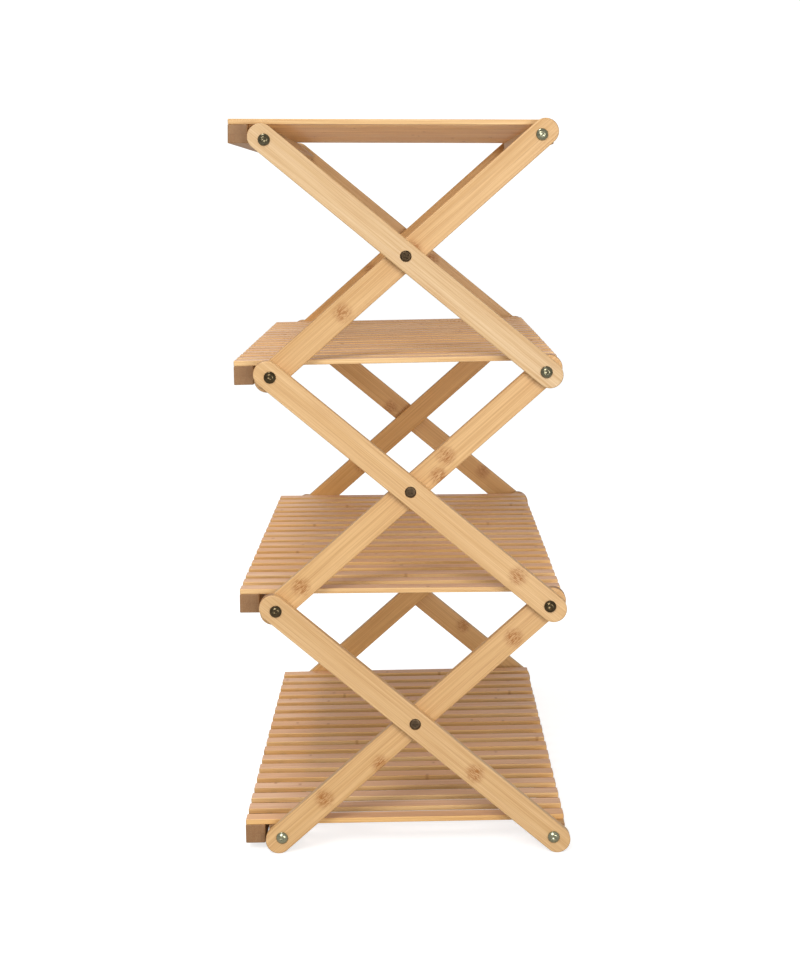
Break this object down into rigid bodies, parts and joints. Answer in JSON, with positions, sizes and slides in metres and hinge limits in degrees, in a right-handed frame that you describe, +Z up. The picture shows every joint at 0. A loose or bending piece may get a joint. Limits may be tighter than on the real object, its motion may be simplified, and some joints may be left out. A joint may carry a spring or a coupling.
{
  "type": "tiered shoe rack",
  "caption": "Folding bamboo shoe rack: slatted shelves hinged between scissor end ladders of crossed flat arms. They drop onto rest bars and swing up to fold flat.",
  "frame": {"origin": "bottom centre of the open rack's bounding box, on the floor", "axes": "+X towards the side where the shelves hinge, +Y along the rack from the front end to the rear end, +Z up"},
  "size_m": [0.3289, 0.7012, 0.7422],
  "materials": {
    "bamboo_arm": "satin lacquer",
    "bamboo_slat": "satin lacquer",
    "bamboo_rail": "satin lacquer",
    "bamboo_bar": "satin lacquer",
    "bronzed_bolt": "bronzed",
    "black_screw": "dark satin",
    "brass_insert": "machined",
    "zinc": "zinc plated"
  },
  "bodies": {
    "base_bar": {"rest_bar_4": "bamboo_bar", "left_pivot_4_bolts": "bronzed_bolt", "left_pivot_4_washers": "zinc", "left_pivot_4_inserts": "brass_insert"},
    "lower_inner_arms": {"lower_inner_arm_front": "bamboo_arm", "lower_inner_arm_rear": "bamboo_arm"},
    "lower_outer_arms": {"lower_outer_arm_front": "bamboo_arm", "lower_outer_arm_rear": "bamboo_arm", "crossing_3_screws": "black_screw", "crossing_3_sleeve_nuts": "zinc", "rest_bar_3": "bamboo_bar", "left_pivot_3_bolts": "bronzed_bolt", "left_pivot_3_washers": "zinc", "left_pivot_3_inserts": "brass_insert"},
    "middle_inner_arms": {"middle_inner_arm_front": "bamboo_arm", "middle_inner_arm_rear": "bamboo_arm"},
    "middle_outer_arms": {"middle_outer_arm_front": "bamboo_arm", "middle_outer_arm_rear": "bamboo_arm", "crossing_2_screws": "black_screw", "crossing_2_sleeve_nuts": "zinc", "rest_bar_2": "bamboo_bar", "left_pivot_2_bolts": "bronzed_bolt", "left_pivot_2_washers": "zinc", "left_pivot_2_inserts": "brass_insert"},
    "upper_inner_arms": {"upper_inner_arm_front": "bamboo_arm", "upper_inner_arm_rear": "bamboo_arm"},
    "upper_outer_arms": {"upper_outer_arm_front": "bamboo_arm", "upper_outer_arm_rear": "bamboo_arm", "crossing_1_screws": "black_screw", "crossing_1_sleeve_nuts": "zinc", "rest_bar_1": "bamboo_bar", "left_pivot_1_bolts": "bronzed_bolt", "left_pivot_1_washers": "zinc", "left_pivot_1_inserts": "brass_insert"},
    "shelf_1": {"shelf_1_hinge_rail": "bamboo_rail", "shelf_1_hook_rail": "bamboo_rail", "shelf_1_slats": "bamboo_slat", "right_pivot_1_bolts": "bronzed_bolt", "right_pivot_1_washers": "zinc", "right_pivot_1_inserts": "brass_insert"},
    "shelf_2": {"shelf_2_hinge_rail": "bamboo_rail", "shelf_2_hook_rail": "bamboo_rail", "shelf_2_slats": "bamboo_slat", "right_pivot_2_bolts": "bronzed_bolt", "right_pivot_2_washers": "zinc", "right_pivot_2_inserts": "brass_insert"},
    "shelf_3": {"shelf_3_hinge_rail": "bamboo_rail", "shelf_3_hook_rail": "bamboo_rail", "shelf_3_slats": "bamboo_slat", "right_pivot_3_bolts": "bronzed_bolt", "right_pivot_3_washers": "zinc", "right_pivot_3_inserts": "brass_insert"},
    "shelf_4": {"shelf_4_hinge_rail": "bamboo_rail", "shelf_4_hook_rail": "bamboo_rail", "shelf_4_slats": "bamboo_slat", "right_pivot_4_bolts": "bronzed_bolt", "right_pivot_4_washers": "zinc", "right_pivot_4_inserts": "brass_insert"}
  },
  "joints": [
    {"name": "fold", "type": "hinge", "parent": "base_bar", "child": "lower_inner_arms", "pos_m": [-0.12643, 0, 0.01634], "axis": [0, -1, 0], "range_deg": [0, 44]},
    {"name": "lower_crossing", "type": "hinge", "parent": "lower_inner_arms", "child": "lower_outer_arms", "pos_m": [0.01057, 0, 0.13359], "axis": [0, 1, 0], "range_deg": [0, 88]},
    {"name": "lower_left_pivot", "type": "hinge", "parent": "lower_outer_arms", "child": "middle_inner_arms", "pos_m": [-0.12643, 0, 0.25084], "axis": [0, -1, 0], "range_deg": [0, 88]},
    {"name": "middle_crossing", "type": "hinge", "parent": "middle_inner_arms", "child": "middle_outer_arms", "pos_m": [0.01057, 0, 0.36809], "axis": [0, 1, 0], "range_deg": [0, 88]},
    {"name": "upper_left_pivot", "type": "hinge", "parent": "middle_outer_arms", "child": "upper_inner_arms", "pos_m": [-0.12643, 0, 0.48534], "axis": [0, -1, 0], "range_deg": [0, 88]},
    {"name": "upper_crossing", "type": "hinge", "parent": "upper_inner_arms", "child": "upper_outer_arms", "pos_m": [0.01057, 0, 0.60259], "axis": [0, 1, 0], "range_deg": [0, 88]},
    {"name": "shelf_4_hinge", "type": "hinge", "parent": "lower_outer_arms", "child": "shelf_4", "pos_m": [0.14757, 0, 0.01634], "axis": [0, 1, 0], "range_deg": [0, 44]},
    {"name": "shelf_3_hinge", "type": "hinge", "parent": "middle_outer_arms", "child": "shelf_3", "pos_m": [0.14757, 0, 0.25084], "axis": [0, 1, 0], "range_deg": [0, 44]},
    {"name": "shelf_2_hinge", "type": "hinge", "parent": "upper_outer_arms", "child": "shelf_2", "pos_m": [0.14757, 0, 0.48534], "axis": [0, 1, 0], "range_deg": [0, 44]},
    {"name": "shelf_1_hinge", "type": "hinge", "parent": "upper_inner_arms", "child": "shelf_1", "pos_m": [0.14757, 0, 0.71984], "axis": [0, 1, 0], "range_deg": [0, 132]}
  ],
  "couplings": [
    {"joint": "lower_crossing", "follows": "fold", "ratio": 2},
    {"joint": "lower_left_pivot", "follows": "fold", "ratio": 2},
    {"joint": "middle_crossing", "follows": "fold", "ratio": 2},
    {"joint": "upper_left_pivot", "follows": "fold", "ratio": 2},
    {"joint": "upper_crossing", "follows": "fold", "ratio": 2},
    {"joint": "shelf_4_hinge", "follows": "fold", "ratio": 1},
    {"joint": "shelf_3_hinge", "follows": "fold", "ratio": 1},
    {"joint": "shelf_2_hinge", "follows": "fold", "ratio": 1},
    {"joint": "shelf_1_hinge", "follows": "fold", "ratio": 3}
  ]
}
